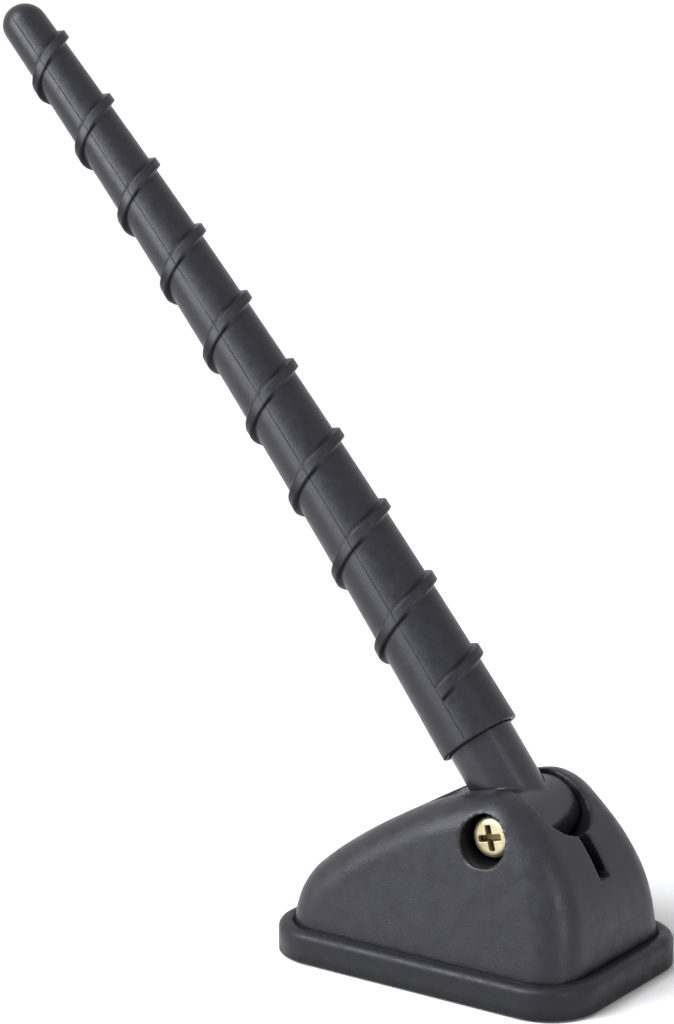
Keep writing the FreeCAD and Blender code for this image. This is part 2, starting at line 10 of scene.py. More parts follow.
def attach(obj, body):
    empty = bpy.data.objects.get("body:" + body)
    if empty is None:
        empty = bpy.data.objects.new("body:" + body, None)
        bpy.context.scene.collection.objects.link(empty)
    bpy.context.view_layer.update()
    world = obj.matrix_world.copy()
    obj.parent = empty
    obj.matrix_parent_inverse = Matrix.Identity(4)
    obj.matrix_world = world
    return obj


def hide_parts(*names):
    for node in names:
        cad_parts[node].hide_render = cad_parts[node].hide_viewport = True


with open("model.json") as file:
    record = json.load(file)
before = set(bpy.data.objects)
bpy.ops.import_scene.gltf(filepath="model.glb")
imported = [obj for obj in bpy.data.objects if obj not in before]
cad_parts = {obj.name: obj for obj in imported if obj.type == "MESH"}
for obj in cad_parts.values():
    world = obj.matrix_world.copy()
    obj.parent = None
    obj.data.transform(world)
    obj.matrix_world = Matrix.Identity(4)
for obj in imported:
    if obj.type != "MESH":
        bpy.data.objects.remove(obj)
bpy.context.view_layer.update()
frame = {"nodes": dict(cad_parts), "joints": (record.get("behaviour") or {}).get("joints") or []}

bl_info = {
    "name": "Car antenna",
    "version": (1, 0, 0),
    "blender": (4, 5, 0),
    "location": "View3D > Sidebar > Antenna",
    "description": "Stick-on car antenna with a spiral rubber mast, built piece by piece",
    "category": "Add Mesh",
}

MM = 0.001
PIVOT = Vector(frame["joints"][0]["pos_m"])

# Meshes: joining distance, sharp-edge angles, and voxel size with smoothing passes for each softened copy
JOIN_DISTANCE = 0.002 * MM
COPY_EDGE = math.radians(60.0)
MAST_EDGE = math.radians(50.0)
SMOOTH_FACTOR = 0.5
SOFTENING = {
    "base_housing": (0.39 * MM, 2),
    "pivot_hub": (0.24 * MM, 3),
    "clamp_screw": (0.1 * MM, 2),
    "clamp_nut": (0.1 * MM, 2),
}

# Hollows of the housing that little light reaches, where shade is painted, in metres; each wall is a band
# over which the painted shade ends
TROUGH_RISE = math.radians(38.0)
TROUGH_LINE = Vector((math.cos(TROUGH_RISE), 0.0, math.sin(TROUGH_RISE)))
TROUGH_WALL = (0.0071, 0.0074)
TROUGH_SHADE = 0.65
RECESS_WALL = (0.0044, 0.0047)
RECESS_SHADE = 0.9
SLIT_WALL = (0.00135, 0.0016)
SLIT_START = 0.002
SLIT_FLOOR = 0.0195
SLIT_SHADE = 0.9

# Where the housing is eased, in millimetres along X (run) and Z (rise)
BACK_RUN = (-30.0, 5.0)
BACK_RISE = (6.0, 16.0)
END_RUN = (8.0, 26.0)
END_RISE = (5.0, 31.0)
CROWN_RUN = (10.0, 18.0)
CROWN_RISE = (24.0, 32.0)

# The screw's cross recess, where shade is painted: its reach from the axis, and its rim and floor along Y,
# in metres; and how far past its seat the head begins to be widened
HEAD_MARGIN = 0.02 * MM
CROSS_REACH = 0.0027
CROSS_RIM = -0.0119
CROSS_FLOOR = -0.0112

# Columns of faces around the mast: close ones beside a parting line, in degrees, and even ones between
LINE_COLUMNS = (0.0, 0.9, 1.8, 3.2)
FIRST_COLUMN = 5.5
EVEN_COLUMNS = 42
FOOT_STEPS = 5
TIP_STEPS = 24

# The rib: its crest's edge and its foot as shares of its width, and the turn at which it doesn't sway
RIB_CREST = 0.42
RIB_FOOT = 0.68
SWAY_TURN = math.radians(7.0)

# Painted shade of the rib: sides as bands of the turn's sine, lines and crest as shares of its width, and the
# reach of each line in metres
UPPER_SIDE = (-0.35, 0.1)
LOWER_SIDE = (0.15, 0.6)
CREST_SIDE = (0.1, 0.7)
UPPER_LINE = 0.60
UPPER_REACH = 0.0008
UPPER_SHADE = 0.75
LOWER_LINE = 0.62
LOWER_REACH = 0.0006
LOWER_SHADE = 0.9
CREST_BAND = (0.5, 0.7)
CREST_SHADE = 0.5

# The parting groove: half its width as a band in metres, its mean depth and how that wavers along the mast
LINE_WALL = (0.00002, 0.00013)
LINE_MEAN = 0.7
LINE_WAVER = 0.6
LINE_PACE = 130.0

# The photograph's camera
CAMERA_TURN = math.radians(35.927)
CAMERA_RISE = math.radians(12.011)
CAMERA_ROLL = math.radians(-0.371)
CAMERA_AIM = Vector((-0.02980, 0.0, 0.07754))
CAMERA_DISTANCE = 0.52364
CAMERA_LENS = 102.45
CAMERA_SENSOR = 36.0
CAMERA_NEAR = 0.01

# Floor and surround
FLOOR_SIZE = 24.0
FLOOR_DROP = 0.0002
FLOOR_TONE = (0.98, 0.98, 0.98, 1.0)
FLOOR_ROUGHNESS = 0.8
WHITE = (1.0, 1.0, 1.0, 1.0)
SURROUND_FILL = 0.40
SURROUND_SEEN = 1.0

# The soft sun
KEY_POWER = 2.9
KEY_SPREAD = math.radians(32.0)
KEY_COLOUR = (0.96, 0.97, 1.0)
KEY_DIRECTION = Vector((0.31, 0.635, -0.707))
KEY_PLACE = (-0.3, -0.6, 0.7)


# Sizes and colours

class AntennaSizes(bpy.types.PropertyGroup):
    mast_lean: FloatProperty(
        name="Mast lean", description="Lean of the mast from upright at rest, towards -X",
        default=math.radians(39.5), subtype="ANGLE", unit="ROTATION")
    mast_start: FloatProperty(
        name="Mast start", description="Distance of the mast's foot from the hinge axis",
        default=0.0165, subtype="DISTANCE", unit="LENGTH")
    mast_end: FloatProperty(
        name="Mast end", description="Distance of the mast's tip from the hinge axis",
        default=0.1799, subtype="DISTANCE", unit="LENGTH")
    mast_radius: FloatProperty(
        name="Mast radius", description="Radius of the mast's core at its foot",
        default=0.0075, subtype="DISTANCE", unit="LENGTH")
    tip_radius: FloatProperty(
        name="Tip radius", description="Radius of the mast's rounded tip",
        default=0.0042, subtype="DISTANCE", unit="LENGTH")
    foot_edge: FloatProperty(
        name="Foot edge", description="Radius of the rounded edge at the mast's foot",
        default=0.00035, subtype="DISTANCE", unit="LENGTH")
    neck_room: FloatProperty(
        name="Neck room", description="Radius of the shallow recess around the hub's neck",
        default=0.0065, subtype="DISTANCE", unit="LENGTH")
    neck_depth: FloatProperty(
        name="Neck depth", description="Depth of the shallow recess around the hub's neck",
        default=0.001, subtype="DISTANCE", unit="LENGTH")
    root_turn: FloatProperty(
        name="Root turn", description="How much steeper the mast leaves the hub than its mean lean",
        default=0.0475, subtype="ANGLE", unit="ROTATION")
    droop: FloatProperty(
        name="Droop", description="Sag of the soft mast for each square metre of reach",
        default=0.29)
    bore_radius: FloatProperty(
        name="Bore radius", description="Radius of the hole that takes the hub's spigot",
        default=0.00365, subtype="DISTANCE", unit="LENGTH")
    bore_end: FloatProperty(
        name="Bore end", description="Distance of the bore's closed end from the hinge axis",
        default=0.0412, subtype="DISTANCE", unit="LENGTH")
    rib_pitch: FloatProperty(
        name="Rib pitch", description="Climb of the spiral rib in one turn",
        default=0.01553, subtype="DISTANCE", unit="LENGTH")
    rib_start: FloatProperty(
        name="Rib start", description="Distance of the rib's lower end from the hinge axis",
        default=0.0260, subtype="DISTANCE", unit="LENGTH")
    rib_turns: FloatProperty(
        name="Rib turns", description="Turns of the spiral rib", default=9.5)
    rib_width: FloatProperty(
        name="Rib width", description="Width of the rib at its crest",
        default=0.0020, subtype="DISTANCE", unit="LENGTH")
    rib_proud: FloatProperty(
        name="Rib height", description="Height of the rib midway between the parting lines",
        default=0.0012, subtype="DISTANCE", unit="LENGTH")
    rib_sway: FloatProperty(
        name="Rib sway", description="How far the rib runs flatter across the front than an even spiral",
        default=0.0005, subtype="DISTANCE", unit="LENGTH")
    rib_flush: FloatProperty(
        name="Rib height at parting line", description="Height of the rib where it sinks away",
        default=0.00015, subtype="DISTANCE", unit="LENGTH")
    parting_turn: FloatProperty(
        name="Parting line turn", description="Turn of the front parting line from -Y towards +X",
        default=math.radians(18.0), subtype="ANGLE", unit="ROTATION")
    line_depth: FloatProperty(
        name="Parting line depth", description="Depth of the fine groove along the parting line",
        default=0.00007, subtype="DISTANCE", unit="LENGTH")
    mast_rows: IntProperty(
        name="Mast rows", description="Rows of faces along the mast's side", default=760, min=60)
    back_ease: FloatProperty(
        name="Back ease", description="How far the housing's long back is let down",
        default=0.0005, subtype="DISTANCE", unit="LENGTH")
    end_ease: FloatProperty(
        name="End ease", description="How far the housing's steep end is let out",
        default=0.00065, subtype="DISTANCE", unit="LENGTH")
    crown_ease: FloatProperty(
        name="Crown ease", description="How far the crown's slope above the steep end is let down",
        default=0.0004, subtype="DISTANCE", unit="LENGTH")
    head_growth: FloatProperty(
        name="Screw head growth", description="Width of the screw head against the plain solid's head",
        default=1.07, min=1.0, max=1.2)
    head_turn: FloatProperty(
        name="Screw turn", description="Turn of the cross recess about the screw's axis",
        default=math.radians(-14.0), subtype="ANGLE", unit="ROTATION")
    head_seat: FloatProperty(
        name="Screw head seat", description="Distance of the head's underside from the middle plane",
        default=0.0096, subtype="DISTANCE", unit="LENGTH")


class AntennaColours(bpy.types.PropertyGroup):
    housing: FloatVectorProperty(
        name="Housing", description="Moulded plastic of the base",
        default=(0.0125, 0.0127, 0.0160), subtype="COLOR", size=3, min=0.0, max=1.0)
    rubber: FloatVectorProperty(
        name="Rubber", description="Rubber of the mast",
        default=(0.0115, 0.0117, 0.0150), subtype="COLOR", size=3, min=0.0, max=1.0)
    gasket: FloatVectorProperty(
        name="Gasket", description="Soft rubber around the foot",
        default=(0.0108, 0.0110, 0.0138), subtype="COLOR", size=3, min=0.0, max=1.0)
    zinc: FloatVectorProperty(
        name="Zinc", description="Yellow zinc plating of the screw",
        default=(0.66, 0.625, 0.46), subtype="COLOR", size=3, min=0.0, max=1.0)


def sizes():
    """The sizes set in the sidebar."""
    return bpy.context.scene.antenna_sizes


def colours():
    """The colours set in the sidebar."""
    return bpy.context.scene.antenna_colours


# Formulas

def smooth_step(low, high, value):
    """Smooth rise from 0 to 1 between two places."""
    part = min(1.0, max(0.0, (value - low) / (high - low)))
    return part * part * (3.0 - 2.0 * part)


def swell(low, high, value):
    """Smooth rise and fall between two places, 1 midway."""
    part = min(1.0, max(0.0, (value - low) / (high - low)))
    return math.sin(math.pi * part) ** 2


# Modelling helpers

def only(piece):
    """Make a piece the one selected and active object."""
    bpy.ops.object.select_all(action="DESELECT")
    piece.select_set(True)
    bpy.context.view_layer.objects.active = piece


def named(name):
    """Name the active object and its mesh."""
    piece = bpy.context.active_object
    piece.name = name
    piece.data.name = name
    return piece


def merged_copy(node, name):
    """Copy a CAD node's mesh and join its loose triangles."""
    piece = bpy.data.objects.new(name, frame["nodes"][node].data.copy())
    bpy.context.scene.collection.objects.link(piece)
    piece.data.name = name
    piece.data.materials.clear()
    only(piece)
    bpy.ops.object.mode_set(mode="EDIT")
    bpy.ops.mesh.select_all(action="SELECT")
    bpy.ops.mesh.remove_doubles(threshold=JOIN_DISTANCE)
    bpy.ops.object.mode_set(mode="OBJECT")
    return piece


def soften(piece, voxel, passes):
    """Give a merged copy even faces and small edge radii, as a moulded or pressed piece has."""
    only(piece)
    bpy.ops.object.modifier_add(type="REMESH")
    remesh = piece.modifiers[-1]
    remesh.mode = "VOXEL"
    remesh.voxel_size = voxel
    bpy.ops.object.modifier_apply(modifier=remesh.name)
    bpy.ops.object.modifier_add(type="SMOOTH")
    smooth = piece.modifiers[-1]
    smooth.factor = SMOOTH_FACTOR
    smooth.iterations = passes
    bpy.ops.object.modifier_apply(modifier=smooth.name)


def mark_painted_shade(piece, depth_at):
    """Store as painted shade how deep each point lies in creases or holes that no light reaches."""
    shade_marks = piece.data.attributes.new("crease", "FLOAT", "POINT")
    for place, vertex in enumerate(piece.data.vertices):
        shade_marks.data[place].value = depth_at(vertex.co)


def finish_piece(piece, node, body, slot, angle):
    """Shade, dress and hang a piece on its body."""
    only(piece)
    bpy.ops.object.shade_smooth_by_angle(angle=angle)
    piece.data.materials.clear()
    piece.data.materials.append(material_for(slot))
    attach(piece, body)
    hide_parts(node)


# Material helpers

def new_material(name):
    """Start a node material and hand out its shader, nodes and links."""
    material = bpy.data.materials.new(name)
    material.use_nodes = True
    tree = material.node_tree
    return material, tree.nodes["Principled BSDF"], tree.nodes, tree.links


def add(nodes, kind, place, inputs=None, **settings):
    """Add a node with its settings and with values for its unlinked inputs."""
    node = nodes.new(kind)
    node.location = place
    for key, value in settings.items():
        setattr(node, key, value)
    for key, value in (inputs or {}).items():
        node.inputs[key].default_value = value
    return node


def toned(colour, share):
    """A colour times a share, as a node takes it."""
    return (*[min(1.0, part * share) for part in colour], 1.0)


def grain_group():
    """Moulded grain: a fine pebble and a slow drift, as one height and one mask."""
    name = "Moulded grain"
    if name in bpy.data.node_groups:
        return bpy.data.node_groups[name]
    group = bpy.data.node_groups.new(name, "ShaderNodeTree")
    face = group.interface
    face.new_socket("Vector", in_out="INPUT", socket_type="NodeSocketVector")
    face.new_socket("Scale", in_out="INPUT", socket_type="NodeSocketFloat")
    face.new_socket("Drift Scale", in_out="INPUT", socket_type="NodeSocketFloat")
    face.new_socket("Height", in_out="OUTPUT", socket_type="NodeSocketFloat")
    face.new_socket("Drift", in_out="OUTPUT", socket_type="NodeSocketFloat")
    nodes, links = group.nodes, group.links
    entry = add(nodes, "NodeGroupInput", (-700, 0))
    leave = add(nodes, "NodeGroupOutput", (500, 0))
    pebble = add(nodes, "ShaderNodeTexVoronoi", (-400, 150), feature="SMOOTH_F1")
    pebble.inputs["Smoothness"].default_value = 0.6
    fine = add(nodes, "ShaderNodeTexNoise", (-400, -100), {"Detail": 4.0, "Roughness": 0.6})
    slow = add(nodes, "ShaderNodeTexNoise", (-400, -350), {"Detail": 5.0})
    mix = add(nodes, "ShaderNodeMix", (100, 100), {"Factor": 0.45}, data_type="FLOAT")
    for texture in (pebble, fine, slow):
        links.new(entry.outputs["Vector"], texture.inputs["Vector"])
    for texture in (pebble, fine):
        links.new(entry.outputs["Scale"], texture.inputs["Scale"])
    links.new(entry.outputs["Drift Scale"], slow.inputs["Scale"])
    links.new(pebble.outputs["Distance"], mix.inputs["A"])
    links.new(fine.outputs["Fac"], mix.inputs["B"])
    links.new(mix.outputs["Result"], leave.inputs["Height"])
    links.new(slow.outputs["Fac"], leave.inputs["Drift"])
    return group


# Finishes: colour by its property, grain and drift as texture scales, depth of the grain in metres
Finish = namedtuple("Finish", "colour grain depth rough_low rough_high specular sparkle drift")
FINISHES = {
    "housing_plastic": Finish(
        colour="housing", grain=2600.0, depth=0.06 * MM, rough_low=0.30, rough_high=0.50,
        specular=0.35, sparkle=0.16, drift=380.0),
    "gasket_rubber": Finish(
        colour="gasket", grain=2200.0, depth=0.07 * MM, rough_low=0.34, rough_high=0.56,
        specular=0.24, sparkle=0.14, drift=380.0),
    "hub_plastic": Finish(
        colour="housing", grain=3000.0, depth=0.02 * MM, rough_low=0.24, rough_high=0.28,
        specular=0.45, sparkle=0.05, drift=380.0),
    "mast_rubber": Finish(
        colour="rubber", grain=2600.0, depth=0.04 * MM, rough_low=0.30, rough_high=0.44,
        specular=0.28, sparkle=0.08, drift=600.0),
    "pad_foam": Finish(
        colour="gasket", grain=900.0, depth=0.15 * MM, rough_low=0.85, rough_high=0.95,
        specular=0.2, sparkle=0.0, drift=380.0),
}

# Shares and ranges that all moulded finishes have
TONE_LOW = 0.74
TONE_HIGH = 1.34
SPECK_SCALE = 1.3
SPECK_TONE = 9.0
SPECK_RANGE = (0.66, 0.80)
DRIFT_RANGE = (0.3, 0.7)
# Painted shade in creases and hollows: its colour, and the share of the specular level left there
PAINTED_SHADE_TONE = (0.0020, 0.0020, 0.0024, 1.0)
PAINTED_SHADE_SHINE = 0.15
GRAIN_STRENGTH = 0.6
SHINE_TINT = (0.91, 0.905, 1.0, 1.0)


def moulded(name, finish):
    """Dark moulded plastic or rubber with grain, drift and faint specks, with painted shade in creases."""
    material, shader, nodes, links = new_material(name)
    colour = getattr(colours(), finish.colour)
    where = add(nodes, "ShaderNodeTexCoord", (-1300, 0))
    group = add(nodes, "ShaderNodeGroup", (-1000, 0), node_tree=grain_group())
    group.inputs["Scale"].default_value = finish.grain
    group.inputs["Drift Scale"].default_value = finish.drift
    links.new(where.outputs["Object"], group.inputs["Vector"])

    tone = add(nodes, "ShaderNodeMix", (-500, 250), data_type="RGBA")
    tone.inputs["A"].default_value = toned(colour, TONE_LOW)
    tone.inputs["B"].default_value = toned(colour, TONE_HIGH)
    links.new(group.outputs["Drift"], tone.inputs["Factor"])
    specks = add(nodes, "ShaderNodeTexNoise", (-1000, 400), {
        "Scale": finish.grain * SPECK_SCALE, "Detail": 1.0})
    links.new(where.outputs["Object"], specks.inputs["Vector"])
    picked = add(nodes, "ShaderNodeMapRange", (-750, 400), {
        "From Min": SPECK_RANGE[0], "From Max": SPECK_RANGE[1], "To Max": finish.sparkle})
    links.new(specks.outputs["Fac"], picked.inputs["Value"])
    speckled = add(nodes, "ShaderNodeMix", (-250, 250), data_type="RGBA")
    speckled.inputs["B"].default_value = toned(colour, SPECK_TONE)
    links.new(picked.outputs["Result"], speckled.inputs["Factor"])
    links.new(tone.outputs["Result"], speckled.inputs["A"])

    # Painted shade from the point attribute darkens the colour and lowers the specular level
    crease = add(nodes, "ShaderNodeAttribute", (-750, 650), attribute_name="crease")
    shaded = add(nodes, "ShaderNodeMix", (-100, 400), data_type="RGBA")
    shaded.inputs["B"].default_value = PAINTED_SHADE_TONE
    links.new(crease.outputs["Fac"], shaded.inputs["Factor"])
    links.new(speckled.outputs["Result"], shaded.inputs["A"])
    links.new(shaded.outputs["Result"], shader.inputs["Base Color"])
    shine = add(nodes, "ShaderNodeMapRange", (-100, 650), {
        "To Min": finish.specular, "To Max": finish.specular * PAINTED_SHADE_SHINE})
    links.new(crease.outputs["Fac"], shine.inputs["Value"])
    links.new(shine.outputs["Result"], shader.inputs["Specular IOR Level"])
    shader.inputs["Specular Tint"].default_value = SHINE_TINT

    rough = add(nodes, "ShaderNodeMapRange", (-500, -50), {
        "From Min": DRIFT_RANGE[0], "From Max": DRIFT_RANGE[1],
        "To Min": finish.rough_low, "To Max": finish.rough_high})
    links.new(group.outputs["Drift"], rough.inputs["Value"])
    links.new(rough.outputs["Result"], shader.inputs["Roughness"])
    bump = add(nodes, "ShaderNodeBump", (-250, -250), {"Strength": GRAIN_STRENGTH, "Distance": finish.depth})
    links.new(group.outputs["Height"], bump.inputs["Height"])
    links.new(bump.outputs["Normal"], shader.inputs["Normal"])
    return material


# Yellow zinc: where the plating is thin, and painted shade in the cross recess
THIN_SHARES = (0.72, 0.62, 0.45)
CROSS_SHADE_TONE = (0.16, 0.115, 0.05, 1.0)
ZINC_CLOUDS = 900.0
ZINC_ROUGH = (0.30, 0.55)
ZINC_WEAR = 0.03 * MM
ZINC_WEAR_STRENGTH = 0.25
ZINC_METAL = 0.85


def cross_shade_mask(nodes, links, where):
    """Mask of the painted shade in the screw's cross recess: 1 on its floor, 0 on the head's face and on all
    other pieces.
    """
    parts = add(nodes, "ShaderNodeSeparateXYZ", (-1000, 500))
    links.new(where.outputs["Object"], parts.inputs["Vector"])
    level = add(nodes, "ShaderNodeMapRange", (-750, 550), {"From Min": CROSS_RIM, "From Max": CROSS_FLOOR})
    links.new(parts.outputs["Y"], level.inputs["Value"])
    axle = add(nodes, "ShaderNodeCombineXYZ", (-1000, 750), {"X": PIVOT.x, "Z": PIVOT.z})
    links.new(parts.outputs["Y"], axle.inputs["Y"])
    away = add(nodes, "ShaderNodeVectorMath", (-750, 750), operation="DISTANCE")
    links.new(where.outputs["Object"], away.inputs[0])
    links.new(axle.outputs["Vector"], away.inputs[1])
    inner = add(nodes, "ShaderNodeMath", (-500, 700), {1: CROSS_REACH}, operation="LESS_THAN")
    links.new(away.outputs["Value"], inner.inputs[0])
    head = add(nodes, "ShaderNodeMath", (-500, 550), {1: -sizes().head_seat}, operation="LESS_THAN")
    links.new(parts.outputs["Y"], head.inputs[0])
    within = add(nodes, "ShaderNodeMath", (-250, 750), operation="MULTIPLY")
    links.new(head.outputs["Value"], within.inputs[0])
    links.new(inner.outputs["Value"], within.inputs[1])
    sunk = add(nodes, "ShaderNodeMath", (-250, 600), operation="MULTIPLY")
    links.new(level.outputs["Result"], sunk.inputs[0])
    links.new(within.outputs["Value"], sunk.inputs[1])
    return sunk.outputs["Value"]


def yellow_zinc(name):
    """Yellow zinc plating with thin, uneven colour, fine wear and painted shade in the cross recess."""
    material, shader, nodes, links = new_material(name)
    colour = colours().zinc
    where = add(nodes, "ShaderNodeTexCoord", (-1300, 0))
    clouds = add(nodes, "ShaderNodeTexNoise", (-1000, 150), {"Scale": ZINC_CLOUDS, "Detail": 6.0})
    links.new(where.outputs["Object"], clouds.inputs["Vector"])
    tint = add(nodes, "ShaderNodeMix", (-500, 250), data_type="RGBA")
    tint.inputs["A"].default_value = (*[part * share for part, share in zip(colour, THIN_SHARES)], 1.0)
    tint.inputs["B"].default_value = (*colour, 1.0)
    links.new(clouds.outputs["Fac"], tint.inputs["Factor"])
    # Painted shade: the cross recess is darkened to a brown
    cross_shaded = add(nodes, "ShaderNodeMix", (-250, 350), data_type="RGBA")
    cross_shaded.inputs["B"].default_value = CROSS_SHADE_TONE
    links.new(cross_shade_mask(nodes, links, where), cross_shaded.inputs["Factor"])
    links.new(tint.outputs["Result"], cross_shaded.inputs["A"])
    links.new(cross_shaded.outputs["Result"], shader.inputs["Base Color"])
    rough = add(nodes, "ShaderNodeMapRange", (-500, -50), {"To Min": ZINC_ROUGH[0], "To Max": ZINC_ROUGH[1]})
    links.new(clouds.outputs["Fac"], rough.inputs["Value"])
    links.new(rough.outputs["Result"], shader.inputs["Roughness"])
    bump = add(nodes, "ShaderNodeBump", (-250, -250), {
        "Strength": ZINC_WEAR_STRENGTH, "Distance": ZINC_WEAR})
    links.new(clouds.outputs["Fac"], bump.inputs["Height"])
    links.new(bump.outputs["Normal"], shader.inputs["Normal"])
    shader.inputs["Metallic"].default_value = ZINC_METAL
    return material


def material_for(slot):
    """Make a slot's material once."""
    name = slot + "_finish"
    if name in bpy.data.materials:
        return bpy.data.materials[name]
    if slot in FINISHES:
        return moulded(name, FINISHES[slot])
    return yellow_zinc(name)


# The mast

def mast_columns():
    """Angles around the mast, counted from the front parting line and close together at both lines."""
    span = 180.0 - 2.0 * FIRST_COLUMN
    even = [FIRST_COLUMN + span * step / EVEN_COLUMNS for step in range(EVEN_COLUMNS + 1)]
    half = [*LINE_COLUMNS, *even, *[180.0 - angle for angle in reversed(LINE_COLUMNS[1:])]]
    return [math.radians(angle) for angle in half + [180.0 + angle for angle in half] + [360.0]]


def mast_profile(kit):
    """Rows of the mast as (radius, distance along the axis, share of relief)."""
    floor = kit.mast_start + kit.neck_depth
    foot = kit.mast_start + kit.foot_edge
    shoulder = kit.mast_end - kit.tip_radius
    slope = (kit.mast_radius - kit.tip_radius) / (shoulder - foot)
    rows = [(0.0, kit.bore_end, 0.0), (kit.bore_radius, kit.bore_end, 0.0)]
    rows += [(kit.bore_radius, floor, 0.0), (kit.neck_room, floor, 0.0)]
    rows += [(kit.neck_room, kit.mast_start, 0.0)]
    for step in range(FOOT_STEPS + 1):
        turn = math.radians(90.0 * step / FOOT_STEPS)
        radius = kit.mast_radius - kit.foot_edge + kit.foot_edge * math.sin(turn)
        rows.append((radius, foot - kit.foot_edge * math.cos(turn), 0.0))
    for row in range(1, kit.mast_rows + 1):
        along = foot + (shoulder - foot) * row / kit.mast_rows
        rows.append((kit.mast_radius - slope * (along - foot), along, 1.0))
    for step in range(1, TIP_STEPS + 1):
        turn = math.radians(90.0 * step / TIP_STEPS)
        radius = kit.tip_radius * math.cos(turn)
        rows.append((radius, shoulder + kit.tip_radius * math.sin(turn), 1.0 - step / TIP_STEPS))
    return rows


def mast_shift(kit, along):
    """How far the sagging mast's middle lies from its straight mean line."""
    return kit.root_turn * along - kit.droop * along * along


def rib_place(kit, angle, along):
    """Turn of the rib nearest to a place on the mast and the climb from its middle line."""
    sway = kit.rib_sway * math.sin(angle - SWAY_TURN)
    passed = (along - kit.rib_start + sway) / kit.rib_pitch - angle / math.tau
    nearest = round(passed)
    return angle / math.tau + nearest, (passed - nearest) * kit.rib_pitch


def rib_height(kit, angle, along):
    """Height of the spiral rib at a place on the mast."""
    turn, climb = rib_place(kit, angle, along)
    if turn < 0.0 or turn > kit.rib_turns:
        return 0.0
    crest = kit.rib_flush + (kit.rib_proud - kit.rib_flush) * math.sin(angle) ** 2
    return crest * (1.0 - smooth_step(RIB_CREST * kit.rib_width, RIB_FOOT * kit.rib_width, abs(climb)))


def rib_painted_shade(kit, angle, along):
    """Painted shade above the rib on its right half, and below it and on its crest on its left half."""
    turn, climb = rib_place(kit, angle, along)
    if turn < 0.0 or turn > kit.rib_turns:
        return 0.0
    side = math.sin(angle)
    across = climb / kit.rib_width
    upper = 1.0 - smooth_step(0.0, UPPER_REACH, abs(climb - UPPER_LINE * kit.rib_width))
    lower = 1.0 - smooth_step(0.0, LOWER_REACH, abs(climb + LOWER_LINE * kit.rib_width))
    crest = 1.0 - smooth_step(*CREST_BAND, abs(across))
    return max(UPPER_SHADE * upper * smooth_step(*UPPER_SIDE, side),
               LOWER_SHADE * lower * (1.0 - smooth_step(*LOWER_SIDE, side)),
               CREST_SHADE * crest * smooth_step(*CREST_SIDE, -side))


def line_drop(kit, angle, along, radius):
    """Depth of the parting groove, which comes and goes along the mast."""
    waver = LINE_WAVER * noise.noise(Vector((0.0, angle, along * LINE_PACE)))
    away = abs(math.remainder(angle, math.pi)) * radius
    return kit.line_depth * (LINE_MEAN + waver) * (1.0 - smooth_step(*LINE_WALL, away))


class ANTENNA_OT_mast(bpy.types.Operator):
    """Wrap a grid into the tapered rubber mast with its spiral rib and parting lines"""
    bl_idname = "antenna.mast"
    bl_label = "Spiral mast"

    def execute(self, context):
        kit = sizes()
        columns = mast_columns()
        rows = mast_profile(kit)
        bpy.ops.object.select_all(action="DESELECT")
        bpy.ops.mesh.primitive_grid_add(
            x_subdivisions=len(columns) - 1, y_subdivisions=len(rows) - 1, size=2.0, calc_uvs=True)
        piece = named("mast_skin")
        lean = Matrix.Translation(PIVOT) @ Matrix.Rotation(-kit.mast_lean, 4, "Y")
        start = kit.parting_turn - math.pi / 2
        # Painted shade on the rib's flanks and crest, kept as a point attribute
        shade_marks = piece.data.attributes.new("crease", "FLOAT", "POINT")
        for place, vertex in enumerate(piece.data.vertices):
            row, column = divmod(place, len(columns))
            radius, along, relief = rows[row]
            angle = columns[column]
            if relief > 0.0 and radius > 0.0:
                shade_marks.data[place].value = relief * rib_painted_shade(kit, angle, along)
                radius += relief * (rib_height(kit, angle, along) - line_drop(kit, angle, along, radius))
            east = mast_shift(kit, along) + radius * math.cos(start + angle)
            vertex.co = lean @ Vector((east, radius * math.sin(start + angle), along))
        only(piece)
        bpy.ops.object.mode_set(mode="EDIT")
        bpy.ops.mesh.select_all(action="SELECT")
        bpy.ops.mesh.remove_doubles(threshold=JOIN_DISTANCE)
        bpy.ops.mesh.normals_make_consistent(inside=False)
        bpy.ops.object.mode_set(mode="OBJECT")
        finish_piece(piece, "spiral_mast", "mast", "mast_rubber", MAST_EDGE)
        return {"FINISHED"}


# The base

def housing_painted_shade(spot):
    """Painted shade by depth in the clamp slit, the screw's recess or the end trough, from 0 outside to 1."""
    slit = 0.0
    if spot.x > PIVOT.x + SLIT_START and spot.z > SLIT_FLOOR:
        slit = 1.0 - smooth_step(*SLIT_WALL, abs(spot.y))
    recess = 0.0
    if spot.y < 0.0:
        recess = 1.0 - smooth_step(*RECESS_WALL, math.hypot(spot.x - PIVOT.x, spot.z - PIVOT.z))
    arm = spot - PIVOT
    reach = max(0.0, arm.dot(TROUGH_LINE))
    trough = 1.0 - smooth_step(*TROUGH_WALL, (arm - TROUGH_LINE * reach).length)
    return max(SLIT_SHADE * slit, RECESS_SHADE * recess, TROUGH_SHADE * trough)


def settle_housing(piece):
    """Ease the back and the crown's far slope down and the steep end out, by half a millimetre or so."""
    kit = sizes()
    for vertex in piece.data.vertices:
        spot = vertex.co / MM
        back = swell(*BACK_RUN, spot.x) * smooth_step(*BACK_RISE, spot.z)
        end = smooth_step(*END_RUN, spot.x) * swell(*END_RISE, spot.z)
        crown = smooth_step(*CROWN_RUN, spot.x) * smooth_step(*CROWN_RISE, spot.z)
        vertex.co.x += kit.end_ease * end
        vertex.co.z -= kit.back_ease * back + kit.crown_ease * crown


